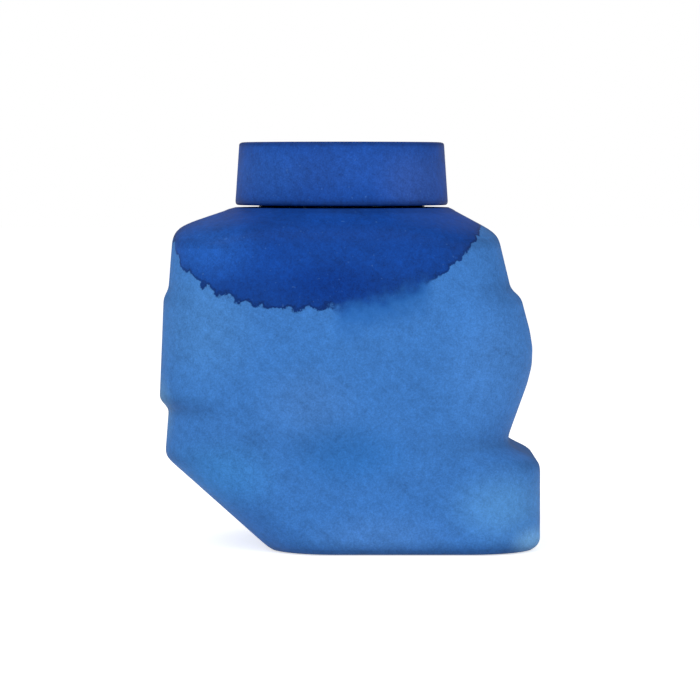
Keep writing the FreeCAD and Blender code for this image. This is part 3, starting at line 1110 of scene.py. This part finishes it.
def sweep_thread():
    """A ridge on the inside of the insert, along a helix."""
    grower = Grower("inner_thread_helix", Radius=INSERT_BORE + INNER_SINK, Pitch=float(pitch),
                    Turns=THREAD_TURNS, Depth=THREAD_DEPTH, Root=RIDGE_WIDE, Crest=RIDGE_CREST,
                    Start=math.radians(INNER_START), Low=insert_low.z + INNER_FOOT,
                    Fade=THREAD_FADE, Steps=THREAD_STEPS)
    given = grower.given
    rise = grower.sum("MULTIPLY", given("Pitch"), given("Turns"))
    helix = grower.add("GeometryNodeCurveSpiral", Resolution=given("Steps"),
                       Rotations=given("Turns"), Start_Radius=given("Radius"),
                       End_Radius=given("Radius"), Height=rise)
    along = grower.add("GeometryNodeSplineParameter")
    back = grower.sum("SUBTRACT", 1.0, along[0])
    nearest = grower.sum("MINIMUM", along[0], back)
    fade = grower.sum("DIVIDE", nearest, given("Fade"))
    fade = grower.sum("MINIMUM", grower.sum("MAXIMUM", fade, LEAST_SCALE), 1.0)
    helix = grower.add("GeometryNodeSetCurveNormal", {"mode": "Z_UP"}, Curve=helix[0])
    profile = grower.add("GeometryNodeCurvePrimitiveQuadrilateral", {"mode": "TRAPEZOID"},
                         Bottom_Width=given("Root"), Top_Width=given("Crest"),
                         Height=given("Depth"), Offset=0.0)
    quarter = grower.add("ShaderNodeCombineXYZ", X=0.0, Y=0.0, Z=math.radians(THREAD_SIDE))
    half = grower.sum("MULTIPLY", given("Depth"), THREAD_SHIFT)
    shift = grower.add("ShaderNodeCombineXYZ", X=half, Y=0.0, Z=0.0)
    profile = grower.add("GeometryNodeTransform", Geometry=profile[0], Rotation=quarter[0],
                         Translation=shift[0])
    profile = grower.add("GeometryNodeFilletCurve", {"mode": "POLY"}, Curve=profile[0],
                         Radius=THREAD_ROUND, Count=3)
    swept = grower.add("GeometryNodeCurveToMesh", Curve=helix[0], Profile_Curve=profile[0],
                       Scale=fade, Fill_Caps=True)
    turn = grower.add("ShaderNodeCombineXYZ", X=0.0, Y=0.0, Z=given("Start"))
    place = grower.add("ShaderNodeCombineXYZ", X=float(neck_x), Y=0.0, Z=given("Low"))
    swept = grower.add("GeometryNodeTransform", Geometry=swept[0], Rotation=turn[0],
                       Translation=place[0])
    return grower.grow("cap_inner_thread", swept[0], plastic)


thread = sweep_thread()
reach = [math.hypot(point.co.x - neck_x, point.co.y) / MM for point in thread.data.vertices]
print("inner thread reaches in to", round(min(reach), 2), "and out to", round(max(reach), 2), "mm")
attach(thread, "cap")

# %% [markdown]
# ## Liner, ink and label
# The wad and its facing are plain discs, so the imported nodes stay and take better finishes. The ink
# follows the cavity's wall and climbs it in a small meniscus. The label is cut as a disc with a
# slightly lifted rim, sunk in the well under the base.

# %% Liner discs
def dress(node, finish):
    """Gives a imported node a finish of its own."""
    slots = frame["nodes"][node].material_slots
    for entry in slots:
        entry.link = "OBJECT"
        entry.material = finish
    print(node, "wears", finish.name)


dress("liner_wad", liner_foam())
dress("liner_facing", liner_film((neck_radius + bore_radius) / 2))

# %% [markdown]
# Ink wets glass, so its surface climbs the wall by less than a millimetre. It fills the cavity from
# the floor up and stays a hair off the wall, so that the two surfaces don't flicker.

# %% Ink with a meniscus
INK_GAP = 0.04 * MM
MENISCUS_HIGH = 0.7 * MM
MENISCUS_WIDE = 2.2 * MM


def pull_in(ring, gap):
    """The ring moved towards its middle by a gap."""
    middle = ring.mean(0)
    out = ring - middle
    reach = np.linalg.norm(out, axis=1, keepdims=True)
    return middle + out * (1 - gap / reach)


def ink_rings():
    """From the cavity's floor up to the surface, which dips in from the wall."""
    surface = ink_high.z
    rings = [ring for ring in wall_rings(inner, CORNER - WALL, bore_radius)[::3]
             if ring[0, 2] < surface - 0.2 * MM]
    wall = [pull_in(ring, INK_GAP) for ring in rings]
    bottom = wall[0]
    rings = [bottom.mean(0) + (bottom - bottom.mean(0)) * share for share in (0.1, 0.5, 0.9)]
    rings += wall
    last = wall[-1]
    for share in np.linspace(0, 1, 9):
        ring = pull_in(last, MENISCUS_WIDE * share)
        ring[:, 2] = surface + MENISCUS_HIGH * (1 - share) ** 3
        rings.append(ring)
    inward = rings[-1].mean(0)
    rings += [inward + (rings[-1] - inward) * share for share in (0.75, 0.5, 0.25, 0.05)]
    return rings


ink = skin("ink_pool", ink_rings(), [blue_ink(ink_high.z)])
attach(ink, "bottle")
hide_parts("ink")

# %% [markdown]
# The label sits in a shallow well so that it doesn't rub on the shelf. A flat disc would do, but
# paper that has been stuck to damp glass curls at its rim by a few hundredths of a millimetre.

# %% Blank label
LABEL_RADIUS = (label_high.x - label_low.x) / 2


def label_rings():
    """A paper disc whose edge has lifted a little from the glass."""
    low, high = label_low.z, label_high.z - 0.005 * MM
    path = [(NEAR_AXIS, low), (LABEL_RADIUS * 0.5, low), (LABEL_RADIUS * 0.9, low),
            (LABEL_RADIUS, low - 0.02 * MM), (LABEL_RADIUS, high - 0.03 * MM),
            (LABEL_RADIUS * 0.9, high), (LABEL_RADIUS * 0.5, high), (NEAR_AXIS, high)]
    return [circle(label_x, reach, height) for reach, height in path]


label = skin("base_label_disc", label_rings(), [label_stock()])
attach(label, "bottle")
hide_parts("base_label")
